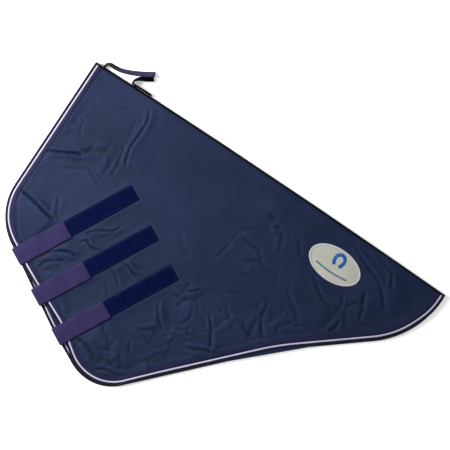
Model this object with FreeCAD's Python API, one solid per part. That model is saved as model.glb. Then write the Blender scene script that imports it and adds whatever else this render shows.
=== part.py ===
import FreeCAD, Part
import math
import os

# Detachable neck cover of a horse turnout rug, folded flat along its crest and lying
# on its far half.  Millimetres.  +X runs along the crest from the poll (the horse's
# head end) to the withers, the two halves hang towards -Y, and +Z is up out of the
# near half.  While the pieces are made, X = 0, Y = 0 is the poll end of the crest line;
# at the end everything is moved so that the origin is the middle of the underside.

# ---- cloth layers of one half, from the outer face inwards ----
SHELL = 0.8
WADDING = 3.0
LINING = 0.6
HALF = SHELL + WADDING + LINING
HALVES_GAP = 2.2
NEAR_BOTTOM = HALF + HALVES_GAP
NEAR_TOP = NEAR_BOTTOM + HALF

# ---- outline of the pattern: (x, y, corner radius) ----
CREST_LENGTH = 1101.0
FOLD_DEPTH = 6.0
POLL_CORNER = (0.0, -FOLD_DEPTH, 12.0)
JAW_CORNER = (2.0, -480.0, 157.0)
FAR_THROAT = (286.0, -648.0, 300.0)
FAR_CHEST = (467.0, -738.5, 120.0)
NEAR_THROAT = (140.0, -559.0, 200.0)
NEAR_DRAWN_IN = (300.0, -631.0, 120.0)
NEAR_CHEST = (460.0, -745.0, 125.0)
SHOULDER_BEND = (815.0, -369.5, 700.0)
WITHERS_CURVE = (CREST_LENGTH, -137.0, 245.0)
WITHERS_CORNER = (CREST_LENGTH, -FOLD_DEPTH, 12.0)

# ---- edge binding, piping and crest tape ----
BINDING_WIDTH = 20.0
BINDING_WEB = 1.2
PIPING_OUTER = 6.5
PIPING_WIDTH = 5.5
PIPING_HEIGHT = 1.6
PIPING_SUNK = 0.5
FOLD_RADIUS = 5.4
FOLD_END_GAP = 2.0

# ---- closure straps: webbing sewn to the far half, brought round onto the near half ----
WEBBING = 1.6
STRAP_WIDTH = 50.0
STRAP_ANGLE = 62.5
STRAP_X = {"upper": 113.0, "middle": 214.0, "lower": 315.0}
STRAP_ANCHOR_END = 108.0
STRAP_FLAP_END = 152.0
STRAP_STAND_OFF = 4.0
BEND_END = 8.0
BEND_RADIUS = 4.0

# ---- hook-and-loop on the closure straps ----
LOOP_STRIP_WIDTH = 45.0
LOOP_STRIP_START = 88.0
LOOP_STRIP_END = 353.0
LOOP_STRIP_THICK = 1.2
HOOK_PATCH_START = 92.0
HOOK_PATCH_END = 148.0
HOOK_PATCH_WIDTH = 46.0
HOOK_PATCH_THICK = 1.0
MOVING_GAP = 0.3

# ---- label sewn near the withers ----
LABEL_CENTRE = (816.0, -100.0)
LABEL_LENGTH = 150.0
LABEL_WIDTH = 85.0
LABEL_RIM = 5.0
LABEL_THICK = 0.8
LABEL_RIM_THICK = 1.2
MOTIF_OUTER = 24.0
MOTIF_INNER = 16.0
MOTIF_THICK = 0.4
MOTIF_LEG = 22.0

# ---- headcollar loop: two webbing tabs standing on edge off the crest ----
TAB_HEIGHT = 22.0
TAB_BOTTOM = 0.5
TAB_STAND_OFF = 0.3
FRONT_BASE_X = (14.0, 29.0)
REAR_BASE_X = (115.5, 171.0)
FRONT_TAB_PATH = [(30.0, 4.0, 0.0), (29.0, 11.0, 3.5), (90.0, 20.0, 60.0), (146.0, 53.5, 0.0)]
REAR_TAB_PATH = [(114.0, 4.0, 0.0), (110.5, 10.0, 4.5), (113.0, 28.5, 8.0), (148.5, 49.7, 0.0)]
TAB_PAD_LENGTH = 28.0
TAB_PAD_END = 2.0
TAB_PAD_THICK = 1.2
TAB_PAD_INSET = 1.5

# ---- hook-and-loop tabs on the linings that hold the cover to the rug ----
RUG_TAB_SIZE = (90.0, 40.0)
RUG_TAB_THICK = 1.2
RUG_TAB_TURN = -42.0
NEAR_RUG_TABS = [(640.0, -500.0), (900.0, -240.0)]
FAR_RUG_TABS = [(735.0, -400.0), (985.0, -165.0)]


def rounded_wire(corners, closed=True):
    """Wire of straight runs with a tangent arc at each corner that has a radius."""
    points = [FreeCAD.Vector(x, y, 0.0) for x, y, radius in corners]
    count = len(points)
    cuts = []
    for index, (x, y, radius) in enumerate(corners):
        here = points[index]
        at_end = not closed and index in (0, count - 1)
        if radius == 0.0 or at_end:
            cuts.append((here, here, here))
            continue
        back = (points[index - 1] - here).normalize()
        ahead = (points[(index + 1) % count] - here).normalize()
        half_angle = back.getAngle(ahead) / 2
        reach = radius / math.tan(half_angle)
        middle = (back + ahead).normalize()
        depth = radius / math.sin(half_angle) - radius
        cuts.append((here + back * reach, here + middle * depth, here + ahead * reach))
    edges = []
    for index, (start, middle, end) in enumerate(cuts):
        if start != end:
            edges.append(Part.Arc(start, middle, end).toShape())
        if closed or index < count - 1:
            next_start = cuts[(index + 1) % count][0]
            if (next_start - end).Length > 1e-6:
                edges.append(Part.LineSegment(end, next_start).toShape())
    return Part.Wire(edges)


def slab(face, bottom, thickness):
    """Flat piece of cloth or webbing: a face raised to a height and given a thickness."""
    piece = face.extrude(FreeCAD.Vector(0.0, 0.0, thickness))
    piece.translate(FreeCAD.Vector(0.0, 0.0, bottom))
    return piece


def block(x_range, y_range, z_range):
    """Upright box between two values of each coordinate."""
    size = [high - low for low, high in (x_range, y_range, z_range)]
    corner = FreeCAD.Vector(x_range[0], y_range[0], z_range[0])
    return Part.makeBox(size[0], size[1], size[2], corner)


def half_outline(*closing_corners):
    """Closed outline of one half, from the poll corner round the head end."""
    return rounded_wire([POLL_CORNER, JAW_CORNER, *closing_corners,
                         SHOULDER_BEND, WITHERS_CURVE, WITHERS_CORNER])


def inset_face(outline, inset):
    """Face bounded by the outline moved inwards."""
    if inset == 0.0:
        return Part.Face(outline)
    return Part.Face(outline.makeOffset2D(-inset))


def edge_band(outline, outer, inner):
    """Band along the free edges, between two insets; it stops at the crest tape."""
    ring = inset_face(outline, outer).cut(inset_face(outline, inner))
    crest_side = Part.makePlane(CREST_LENGTH - 2 * inner, BINDING_WIDTH,
                                FreeCAD.Vector(inner, -FOLD_DEPTH - BINDING_WIDTH, 0.0))
    return ring.cut(crest_side).Faces[0]


def make_half(name, outline, bottom, faces_up):
    """Shell, wadding, lining, binding, piping and crest tape leg of one half."""
    top = bottom + HALF
    shell_z = top - SHELL if faces_up else bottom
    wadding_z = bottom + LINING if faces_up else bottom + SHELL
    lining_z = bottom if faces_up else top - LINING
    outer_piping = (top, PIPING_HEIGHT) if faces_up else (bottom, PIPING_SUNK)
    inner_piping = (bottom, PIPING_SUNK) if faces_up else (top - PIPING_SUNK, PIPING_SUNK)
    panel = inset_face(outline, BINDING_WIDTH)
    core = inset_face(outline, BINDING_WEB)
    wadding = slab(core, wadding_z, WADDING)
    piping_face = edge_band(outline, PIPING_OUTER, PIPING_OUTER + PIPING_WIDTH)
    piping = Part.makeCompound([slab(piping_face, *outer_piping),
                                slab(piping_face, *inner_piping)])
    binding = slab(edge_band(outline, 0.0, BINDING_WIDTH), bottom, HALF).cut(wadding)
    tape_x = (BINDING_WIDTH, CREST_LENGTH - BINDING_WIDTH)
    tape_y = (-FOLD_DEPTH - BINDING_WIDTH, -FOLD_DEPTH)
    tape = block(tape_x, tape_y, (shell_z, shell_z + SHELL))
    inner_tape = block(tape_x, tape_y, (lining_z, lining_z + LINING))
    return {
        name + "_outer_shell": slab(panel, shell_z, SHELL),
        name + "_wadding": wadding,
        name + "_lining": slab(panel, lining_z, LINING).fuse(inner_tape).removeSplitter(),
        name + "_edge_binding": binding.cut(piping),
        name + "_edge_piping": piping,
        name + "_crest_tape": tape,
    }


def bend_profile(mouth, nose, outer_radius, thickness, top):
    """Sideways U of a strip that turns back on itself, in the X-Z plane."""
    inner_radius = outer_radius - thickness
    inner_nose = nose + thickness
    corners = [(mouth, 0.0, 0.0), (nose, 0.0, outer_radius), (nose, top, outer_radius),
               (mouth, top, 0.0), (mouth, top - thickness, 0.0),
               (inner_nose, top - thickness, inner_radius),
               (inner_nose, thickness, inner_radius), (mouth, thickness, 0.0)]
    face = Part.Face(rounded_wire(corners))
    face.rotate(FreeCAD.Vector(0.0, 0.0, 0.0), FreeCAD.Vector(1.0, 0.0, 0.0), 90.0)
    return face


def make_crest_fold():
    """Tape that wraps the fold between the two halves, along the whole crest."""
    face = bend_profile(FOLD_DEPTH, 0.0, FOLD_RADIUS, SHELL, NEAR_TOP)
    face.rotate(FreeCAD.Vector(0.0, 0.0, 0.0), FreeCAD.Vector(0.0, 0.0, 1.0), -90.0)
    face.translate(FreeCAD.Vector(FOLD_END_GAP, 0.0, 0.0))
    return face.extrude(FreeCAD.Vector(CREST_LENGTH - 2 * FOLD_END_GAP, 0.0, 0.0))


def closing_edge_y(x):
    """Height of the far half's closing edge at a distance along the crest."""
    start, end = (JAW_CORNER, FAR_THROAT) if x < FAR_THROAT[0] else (FAR_THROAT, FAR_CHEST)
    share = (x - start[0]) / (end[0] - start[0])
    return start[1] + share * (end[1] - start[1])


def at_strap(shape, x):
    """Move a piece made along +X from the closing edge to its strap's place."""
    shape.rotate(FreeCAD.Vector(0.0, 0.0, 0.0), FreeCAD.Vector(0.0, 0.0, 1.0), STRAP_ANGLE)
    shape.translate(FreeCAD.Vector(x, closing_edge_y(x), 0.0))
    return shape


def make_closure(place, x):
    """Anchor, bend, flap, hook patch and loop strip of one closure strap."""
    half_width = STRAP_WIDTH / 2
    loop_top = NEAR_TOP + LOOP_STRIP_THICK
    hook_z = loop_top + MOVING_GAP
    flap_z = hook_z + HOOK_PATCH_THICK
    flap_top = flap_z + WEBBING
    across = (-half_width, half_width)
    bend = bend_profile(BEND_END, -STRAP_STAND_OFF, BEND_RADIUS, WEBBING, flap_top)
    bend.translate(FreeCAD.Vector(0.0, -half_width, 0.0))
    bend = bend.extrude(FreeCAD.Vector(0.0, STRAP_WIDTH, 0.0))
    hook_across = (-HOOK_PATCH_WIDTH / 2, HOOK_PATCH_WIDTH / 2)
    loop_across = (-LOOP_STRIP_WIDTH / 2, LOOP_STRIP_WIDTH / 2)
    pieces = {
        "strap_anchor_" + place: block((BEND_END, STRAP_ANCHOR_END), across, (0.0, WEBBING)),
        "strap_bend_" + place: bend,
        "strap_flap_" + place: block((BEND_END, STRAP_FLAP_END), across, (flap_z, flap_top)),
        "hook_patch_" + place: block((HOOK_PATCH_START, HOOK_PATCH_END), hook_across,
                                     (hook_z, flap_z)),
        "loop_strip_" + place: block((LOOP_STRIP_START, LOOP_STRIP_END), loop_across,
                                     (NEAR_TOP, loop_top)),
    }
    return {node: at_strap(shape, x) for node, shape in pieces.items()}


def ellipse_face(length, width):
    """Oval face about the label's centre, long way along the crest."""
    centre = FreeCAD.Vector(LABEL_CENTRE[0], LABEL_CENTRE[1], 0.0)
    oval = Part.Ellipse(centre, length / 2, width / 2)
    return Part.Face(Part.Wire(oval.toShape()))


def make_label():
    """Oval patch, its raised rim and a plain horseshoe in the middle."""
    patch_face = ellipse_face(LABEL_LENGTH - 2 * LABEL_RIM, LABEL_WIDTH - 2 * LABEL_RIM)
    rim_face = ellipse_face(LABEL_LENGTH, LABEL_WIDTH).cut(patch_face).Faces[0]
    x, y = LABEL_CENTRE
    mid = (MOTIF_OUTER + MOTIF_INNER) / 2
    corners = [(x + MOTIF_LEG, y - MOTIF_OUTER, 0.0), (x - MOTIF_OUTER, y - MOTIF_OUTER, mid),
               (x - MOTIF_OUTER, y + MOTIF_OUTER, mid), (x + MOTIF_LEG, y + MOTIF_OUTER, 0.0),
               (x + MOTIF_LEG, y + MOTIF_INNER, 0.0), (x - MOTIF_INNER, y + MOTIF_INNER, 14.0),
               (x - MOTIF_INNER, y - MOTIF_INNER, 14.0), (x + MOTIF_LEG, y - MOTIF_INNER, 0.0)]
    motif_face = Part.Face(rounded_wire(corners))
    return {
        "label_patch": slab(patch_face, NEAR_TOP, LABEL_THICK),
        "label_rim": slab(rim_face, NEAR_TOP, LABEL_RIM_THICK),
        "label_motif": slab(motif_face, NEAR_TOP + LABEL_THICK, MOTIF_THICK),
    }


def ribbon_face(path, thickness, shift=0.0):
    """Plan view of a strip on edge: its path given a thickness, moved sideways by shift."""
    points = [FreeCAD.Vector(x, y, 0.0) for x, y, radius in path]
    sides = ([], [])
    for index, point in enumerate(points):
        ends = (points[max(index - 1, 0)], point, points[min(index + 1, len(points) - 1)])
        runs = [(end - start).normalize() for start, end in zip(ends, ends[1:]) if end != start]
        normals = [FreeCAD.Vector(-run.y, run.x, 0.0) for run in runs]
        miter = (normals[0] + normals[-1]).normalize()
        stretch = 1.0 / miter.dot(normals[0])
        radius = path[index][2]
        turn = 0.0 if len(runs) == 1 else runs[0].cross(runs[1]).z
        for side, offset in zip(sides, (shift + thickness / 2, shift - thickness / 2)):
            place = point + miter * (offset * stretch)
            side_radius = 0.0 if radius == 0.0 else radius - math.copysign(offset, turn)
            side.append((place.x, place.y, side_radius))
    return Part.Face(rounded_wire(sides[0] + sides[1][::-1]))


def make_headcollar_loop():
    """Two tabs whose mated tips close a loop over the headcollar's crown piece."""
    stand_z = (TAB_BOTTOM, TAB_BOTTOM + TAB_HEIGHT)
    stand_y = (TAB_STAND_OFF, TAB_STAND_OFF + WEBBING)
    pad_z = TAB_BOTTOM + TAB_PAD_INSET
    pad_height = TAB_HEIGHT - 2 * TAB_PAD_INSET
    pad_shift = (WEBBING + TAB_PAD_THICK) / 2
    pads = {}
    for name, path, side in (("front_hook", FRONT_TAB_PATH, -1), ("rear_loop", REAR_TAB_PATH, 1)):
        tip = FreeCAD.Vector(*path[-1][:2], 0.0)
        back = (FreeCAD.Vector(*path[-2][:2], 0.0) - tip).normalize()
        ends = (tip + back * (TAB_PAD_END + TAB_PAD_LENGTH), tip + back * TAB_PAD_END)
        pad_path = [(end.x, end.y, 0.0) for end in ends]
        pads[name] = ribbon_face(pad_path, TAB_PAD_THICK, side * pad_shift)
    return {
        "headcollar_front_base": block(FRONT_BASE_X, stand_y, stand_z),
        "headcollar_rear_base": block(REAR_BASE_X, stand_y, stand_z),
        "headcollar_front_tab": slab(ribbon_face(FRONT_TAB_PATH, WEBBING), TAB_BOTTOM, TAB_HEIGHT),
        "headcollar_rear_tab": slab(ribbon_face(REAR_TAB_PATH, WEBBING), TAB_BOTTOM, TAB_HEIGHT),
        "headcollar_hook_pad": slab(pads["front_hook"], pad_z, pad_height),
        "headcollar_loop_pad": slab(pads["rear_loop"], pad_z, pad_height),
    }


def make_rug_tabs(centres, bottom):
    """Group of flat hook-and-loop tabs sewn to a lining along the shoulder edge."""
    length, width = RUG_TAB_SIZE
    tabs = []
    for x, y in centres:
        tab = block((-length / 2, length / 2), (-width / 2, width / 2),
                    (bottom, bottom + RUG_TAB_THICK))
        tab.rotate(FreeCAD.Vector(0.0, 0.0, 0.0), FreeCAD.Vector(0.0, 0.0, 1.0), -RUG_TAB_TURN)
        tab.translate(FreeCAD.Vector(x, y, 0.0))
        tabs.append(tab)
    return Part.makeCompound(tabs)


def main():
    pieces = {}
    pieces.update(make_half("far", half_outline(FAR_THROAT, FAR_CHEST), 0.0, False))
    near_outline = half_outline(NEAR_THROAT, NEAR_DRAWN_IN, NEAR_CHEST)
    pieces.update(make_half("near", near_outline, NEAR_BOTTOM, True))
    pieces["crest_fold_tape"] = make_crest_fold()
    for place, x in STRAP_X.items():
        closure = make_closure(place, x)
        pieces.update(closure)
        for layer in ("outer_shell", "wadding", "edge_binding", "edge_piping"):
            cut = pieces["far_" + layer].cut(closure["strap_anchor_" + place])
            pieces["far_" + layer] = cut.cut(closure["strap_bend_" + place])
    pieces.update(make_label())
    pieces.update(make_headcollar_loop())
    pieces["near_rug_tabs"] = make_rug_tabs(NEAR_RUG_TABS, NEAR_BOTTOM - RUG_TAB_THICK)
    pieces["far_rug_tabs"] = make_rug_tabs(FAR_RUG_TABS, HALF)
    box = Part.makeCompound(list(pieces.values())).BoundBox
    to_origin = FreeCAD.Vector(-box.Center.x, -box.Center.y, -box.ZMin)
    print("moved to the origin by", [round(value, 4) for value in to_origin])
    os.makedirs("parts", exist_ok=True)
    for node, shape in pieces.items():
        shape.translate(to_origin)
        shape.exportStep(os.path.join("parts", node + ".step"))
        print(node, len(shape.Solids), round(shape.Volume), shape.isValid())


main()
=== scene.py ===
import math

import bmesh
import bpy
import numpy as np
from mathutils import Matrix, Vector
from mathutils.bvhtree import BVHTree
from mathutils.geometry import delaunay_2d_cdt

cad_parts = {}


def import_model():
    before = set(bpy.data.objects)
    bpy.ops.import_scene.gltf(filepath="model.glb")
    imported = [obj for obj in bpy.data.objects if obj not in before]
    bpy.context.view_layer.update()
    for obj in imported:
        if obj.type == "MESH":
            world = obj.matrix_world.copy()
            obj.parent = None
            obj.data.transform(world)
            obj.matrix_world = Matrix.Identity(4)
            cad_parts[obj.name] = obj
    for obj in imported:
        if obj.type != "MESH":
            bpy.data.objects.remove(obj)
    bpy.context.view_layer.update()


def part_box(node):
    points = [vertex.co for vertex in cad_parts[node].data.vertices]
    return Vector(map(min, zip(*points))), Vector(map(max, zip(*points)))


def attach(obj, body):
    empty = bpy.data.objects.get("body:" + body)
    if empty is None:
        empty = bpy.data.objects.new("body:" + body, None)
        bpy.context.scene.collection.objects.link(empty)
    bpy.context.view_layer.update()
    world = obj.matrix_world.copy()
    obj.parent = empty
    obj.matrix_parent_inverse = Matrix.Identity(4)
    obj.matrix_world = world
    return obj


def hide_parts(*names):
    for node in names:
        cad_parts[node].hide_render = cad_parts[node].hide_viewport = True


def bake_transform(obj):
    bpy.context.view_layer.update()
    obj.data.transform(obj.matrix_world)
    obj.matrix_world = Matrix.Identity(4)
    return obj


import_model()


# ---------------------------------------------------------------------------
# Far half.  It lies underneath, outer face down: navy proofed cloth, 3 mm of wadding and a
# soft lining, cut to the cutter's drawing below.  Pattern sizes are in millimetres: u runs
# along the crest from the poll and v runs down from the crest.
MM = 0.001
CREST_LENGTH = 1101.0
FOLD_DEPTH = 6.0
POLL_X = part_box("near_edge_binding")[0].x
CREST_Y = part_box("crest_fold_tape")[1].y
FAR_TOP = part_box("far_lining")[1].z / MM
CLOTH = 0.8
LINING = 0.6
FAR_MESH = 9.0
SEAM_TUCK = 15.0
ANCHOR_THICK, ANCHOR_REACH, ANCHOR_HALF = 1.7, 112, 29
FAR_EDGE = [(0, FOLD_DEPTH, 0), (2, 480, 157), (286, 648, 300), (467, 738.5, 120),
            (815, 369.5, 700), (CREST_LENGTH, 137, 245), (CREST_LENGTH, FOLD_DEPTH, 0)]
# How far the crest has sunk from a straight line, at places along it.
CREST_PLACES = [0, 12, 100, 180, 400, 700, 900, 1090, 1101]
CREST_SINKS = [6.0, 6.0, 4.0, 2.0, 0, 0, 2.0, 5.0, 5.0]
# Straps: where each crosses the closing edge, and the way it runs up on to the neck.
STRAP_STARTS = {"upper": (113.0, 545.7), "middle": (214.0, 605.4), "lower": (315.0, 662.5)}
STRAP_RUN = np.array([math.cos(math.radians(62.5)), -math.sin(math.radians(62.5))])
STRAP_SIDE = np.array([-STRAP_RUN[1], STRAP_RUN[0]])


def world(u, v, z):
    """Pattern place and height, in millimetres, as points in the row frame in metres."""
    u, v, z = np.broadcast_arrays(np.asarray(u, float), v, z)
    sink = np.interp(u, CREST_PLACES, CREST_SINKS) * np.exp(-np.clip(v, 0, None) / 90)
    return np.stack([POLL_X + u * MM, CREST_Y - (v + sink) * MM, z * MM], axis=-1)


def run_of(path):
    """Distance along a line, at each of its points."""
    return np.r_[0, np.cumsum(np.linalg.norm(np.diff(path, axis=0), axis=1))]


def evenly(path, step):
    """The same line with its points a step apart."""
    path = np.asarray(path, float)
    lengths = run_of(path)
    count = max(2, int(round(lengths[-1] / step)) + 1)
    places = np.linspace(0, lengths[-1], count)
    return np.stack([np.interp(places, lengths, column) for column in path.T], 1)


def rounded(corners, step):
    """Open line through the corners, each with a tangent arc of its own radius."""
    points = [np.array(corner[:2], float) for corner in corners]
    path = [points[0]]
    for index in range(1, len(corners) - 1):
        here, radius = points[index], corners[index][2]
        back = points[index - 1] - here
        ahead = points[index + 1] - here
        back /= np.linalg.norm(back)
        ahead /= np.linalg.norm(ahead)
        half = math.acos(float(np.clip(back @ ahead, -1, 1))) / 2
        reach = radius / math.tan(half)
        centre = here + (back + ahead) / np.linalg.norm(back + ahead) * radius / math.sin(half)
        start, end = here + back * reach - centre, here + ahead * reach - centre
        turn = math.atan2(start[0] * end[1] - start[1] * end[0], start @ end)
        for share in np.linspace(0, 1, 24):
            cos, sin = math.cos(turn * share), math.sin(turn * share)
            path.append(centre + np.array([start[0] * cos - start[1] * sin,
                                           start[0] * sin + start[1] * cos]))
    path.append(points[-1])
    return evenly(path, step)


def sideways(path):
    """Unit normals of a line, to the left of its run: towards the inside of a half."""
    run = np.gradient(np.asarray(path, float), axis=0)
    run /= np.linalg.norm(run, axis=1)[:, None]
    return np.stack([run[:, 1], -run[:, 0]], 1)


def inset(path, distance):
    """The line moved into the half."""
    distance = np.broadcast_to(distance, (len(path),))
    return path + sideways(path) * distance[:, None]


def from_line(u, v, path):
    """Signed distance from a line, and the share of its length at the nearest place."""
    nearest = np.full(np.shape(u), 1e9)
    signed = np.zeros(np.shape(u))
    share = np.zeros(np.shape(u))
    last = len(path) - 1
    for index in range(last):
        (au, av), (bu, bv) = path[index], path[index + 1]
        du, dv = bu - au, bv - av
        along = np.clip(((u - au) * du + (v - av) * dv) / (du * du + dv * dv), 0, 1)
        off = np.hypot(u - au - along * du, v - av - along * dv)
        side = np.where(du * (v - av) - dv * (u - au) >= 0, 1.0, -1.0)
        closer = off < nearest
        nearest = np.where(closer, off, nearest)
        signed = np.where(closer, off * side, signed)
        share = np.where(closer, (index + along) / last, share)
    return signed, share


def inside(u, v, path):
    """Distance in from a half's free edge."""
    return -from_line(u, v, path)[0]


def ease(value):
    """Smooth step from 0 to 1."""
    value = np.clip(value, 0, 1)
    return value * value * (3 - 2 * value)


def fill_half(edge, crest_v, step, rows=()):
    """Triangles that fill a half from its inset free edge to a line below the crest."""
    rim = edge[edge[:, 1] >= crest_v]
    start, end = rim[0].copy(), rim[-1].copy()
    start[1] = end[1] = crest_v
    crest = evenly([end, start], step)
    rim = np.concatenate([rim[1:-1], crest[:1], crest[1:-1], crest[-1:]])
    grid = []
    for row, v in enumerate(np.arange(crest_v, edge[:, 1].max(), step * 0.866)):
        us = np.arange(edge[:, 0].min(), edge[:, 0].max(), step) + (step / 2 if row % 2 else 0)
        grid.append(np.stack([us, np.full(us.shape, v)], 1))
    grid = np.concatenate(grid)
    for row in rows:
        low, high = row.min(0) - step, row.max(0) + step
        near = np.flatnonzero(((grid > low) & (grid < high)).all(1))
        off = np.abs(from_line(grid[near, 0], grid[near, 1], row[::2])[0])
        grid = np.delete(grid, near[off < step * 0.5], axis=0)
    loose = np.concatenate([grid, *rows])
    room = inside(loose[:, 0], loose[:, 1], edge)
    loose = loose[(room > step * 0.4) & (loose[:, 1] > crest_v + step * 0.4)]
    points = [Vector(p) for p in np.concatenate([rim, loose])]
    loop = [(k, (k + 1) % len(rim)) for k in range(len(rim))]
    flat, _, triangles, *_ = delaunay_2d_cdt(points, loop, [], 1, 1e-5, False)
    return np.array([tuple(p) for p in flat]), [tuple(t) for t in triangles]


def put_in(name, data):
    """An object with this mesh, lamp or camera, put in the scene."""
    made = bpy.data.objects.new(name, data)
    bpy.context.scene.collection.objects.link(made)
    return made


def fasten(piece, body, *nodes):
    """Rides a piece on a body and lets it stand for these nodes of the part."""
    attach(piece, body)
    if nodes:
        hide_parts(*nodes)


def finished(name, vertices, faces, material, weave=None):
    """A closed mesh piece, its faces outwards, with its material."""
    mesh = bpy.data.meshes.new(name)
    mesh.from_pydata([tuple(p) for p in vertices], [], faces)
    if weave is not None:
        layer = mesh.attributes.new("weave", "FLOAT_VECTOR", "POINT")
        layer.data.foreach_set("vector", np.asarray(weave, np.float32).ravel())
    shape = bmesh.new()
    shape.from_mesh(mesh)
    bmesh.ops.recalc_face_normals(shape, faces=shape.faces)
    shape.to_mesh(mesh)
    shape.free()
    mesh.polygons.foreach_set("use_smooth", [True] * len(mesh.polygons))
    mesh.materials.append(material)
    piece = put_in(name, mesh)
    return piece


def skin(name, flat, triangles, top, bottom, material):
    """Closed thin piece between two heights over the same triangles."""
    count = len(flat)
    edges = {(a, b) for t in triangles for a, b in zip(t, t[1:] + t[:1])}
    walls = [(b, a, a + count, b + count) for a, b in sorted(edges) if (b, a) not in edges]
    faces = list(triangles) + [tuple(k + count for k in t[::-1]) for t in triangles] + walls
    vertices = np.concatenate([world(flat[:, 0], flat[:, 1], top),
                               world(flat[:, 0], flat[:, 1], bottom)])
    return finished(name, vertices, faces, material)


def linear(red, green, blue):
    """Linear colour of a dye given as ordinary screen values from 0 to 255."""
    values = [channel / 255 for channel in (red, green, blue)]
    return [v / 12.92 if v <= 0.04045 else ((v + 0.055) / 1.055) ** 2.4 for v in values] + [1.0]


def new_group(name, inputs, outputs):
    """An empty shader group, with its entry and exit nodes."""
    group = bpy.data.node_groups.new(name, "ShaderNodeTree")
    for socket, value in inputs.items():
        kind = "NodeSocketVector" if value is None else "NodeSocketFloat"
        item = group.interface.new_socket(socket, in_out="INPUT", socket_type=kind)
        if value is not None:
            item.default_value = value
    for socket in outputs:
        group.interface.new_socket(socket, in_out="OUTPUT", socket_type="NodeSocketFloat")
    return group, group.nodes.new("NodeGroupInput"), group.nodes.new("NodeGroupOutput")


def add_node(tree, kind, inputs=(), **settings):
    """One node with its settings, its sockets filled or linked."""
    made = tree.nodes.new(kind)
    for setting, value in settings.items():
        setattr(made, setting, value)
    for socket, value in dict(inputs).items():
        if isinstance(value, bpy.types.NodeSocket):
            tree.links.new(value, made.inputs[socket])
        else:
            made.inputs[socket].default_value = value
    return made


def sums(tree, operation, *values):
    """One Math node with these numbers or sockets in it."""
    made = add_node(tree, "ShaderNodeMath", enumerate(values), operation=operation)
    return made.outputs[0]


def weave_group():
    """Woven threads: a height that crosses at the pitches given, and a fleck in the yarn."""
    group, entry, leave = new_group("Woven threads", {
        "Place": None, "Warp pitch": 0.001, "Weft pitch": 0.001, "Slub": 0.3}, ["Height", "Fleck"])
    place = entry.outputs["Place"]
    split = add_node(group, "ShaderNodeSeparateXYZ", {0: place})
    waves = []
    for axis, pitch in (("X", "Warp pitch"), ("Y", "Weft pitch")):
        turns = sums(group, "DIVIDE", split.outputs[axis], entry.outputs[pitch])
        waves.append(sums(group, "SINE", sums(group, "MULTIPLY", turns, math.pi)))
    crossing = sums(group, "MULTIPLY", waves[0], waves[1])
    crown = sums(group, "ADD", sums(group, "ABSOLUTE", crossing),
                 sums(group, "MULTIPLY", crossing, 0.35))
    yarn = add_node(group, "ShaderNodeTexNoise", {"Vector": place, "Scale": 420.0, "Detail": 3.0})
    slub = sums(group, "MULTIPLY", yarn.outputs["Fac"], entry.outputs["Slub"])
    group.links.new(sums(group, "ADD", crown, slub), leave.inputs["Height"])
    group.links.new(yarn.outputs["Fac"], leave.inputs["Fleck"])
    return group


def dye_group():
    """Slow changes of shade in dyed cloth, from 0 to 1."""
    group, entry, leave = new_group("Uneven dye", {"Place": None, "Scale": 8.0}, ["Shade"])
    cloud = add_node(group, "ShaderNodeTexNoise", {
        "Vector": entry.outputs["Place"], "Scale": entry.outputs["Scale"], "Detail": 5.0,
        "Roughness": 0.6})
    spread = add_node(group, "ShaderNodeMapRange", {
        "Value": cloud.outputs["Fac"], "From Min": 0.3, "From Max": 0.7})
    group.links.new(spread.outputs["Result"], leave.inputs["Shade"])
    return group


WOVEN = weave_group()
UNEVEN = dye_group()


def cloth_material(name, dark, light, rough, pitch, depth, sheen=0.0, tint=(120, 150, 210),
                   along=False, slub=0.3, patch=8.0, specular=0.35):
    """Dyed woven cloth: two shades of dye, the weave as bump, and its own sheen."""
    material = bpy.data.materials.new(name)
    material.use_nodes = True
    tree = material.node_tree
    shader = tree.nodes["Principled BSDF"]
    for socket, value in (("Sheen Weight", sheen), ("Sheen Roughness", 0.4),
                          ("Sheen Tint", linear(*tint)), ("Specular IOR Level", specular)):
        shader.inputs[socket].default_value = value
    if along:
        place = add_node(tree, "ShaderNodeAttribute", attribute_name="weave").outputs["Vector"]
    else:
        place = add_node(tree, "ShaderNodeTexCoord").outputs["Object"]
    woven = add_node(tree, "ShaderNodeGroup", node_tree=WOVEN)
    for socket, value in (("Warp pitch", pitch[0]), ("Weft pitch", pitch[1]), ("Slub", slub)):
        woven.inputs[socket].default_value = value
    tree.links.new(place, woven.inputs["Place"])
    uneven = add_node(tree, "ShaderNodeGroup", {"Place": place, "Scale": patch}, node_tree=UNEVEN)
    dye = add_node(tree, "ShaderNodeMix", data_type="RGBA")
    dye.inputs["A"].default_value = linear(*dark)
    dye.inputs["B"].default_value = linear(*light)
    tree.links.new(uneven.outputs["Shade"], dye.inputs["Factor"])
    threads = add_node(tree, "ShaderNodeMix", data_type="RGBA", blend_type="MULTIPLY",
                       name="threads")
    threads.inputs["Factor"].default_value = 0.3
    tree.links.new(dye.outputs["Result"], threads.inputs["A"])
    tree.links.new(woven.outputs["Height"], threads.inputs["B"])
    tree.links.new(threads.outputs["Result"], shader.inputs["Base Color"])
    gloss = add_node(tree, "ShaderNodeMapRange", {
        "Value": woven.outputs["Fleck"], "To Min": rough - 0.08, "To Max": rough + 0.08})
    tree.links.new(gloss.outputs["Result"], shader.inputs["Roughness"])
    bump = add_node(tree, "ShaderNodeBump", {
        "Strength": 0.7, "Distance": depth, "Height": woven.outputs["Height"]})
    tree.links.new(bump.outputs["Normal"], shader.inputs["Normal"])
    return material


far_line = rounded(FAR_EDGE, 4.0)
shell_cloth = cloth_material("Navy proofed cloth", (12, 32, 62), (28, 41, 78), rough=0.5,
                             pitch=(0.0009, 0.0009), depth=0.00025, sheen=0.0, specular=0.14,
                             patch=6.0)


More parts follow.
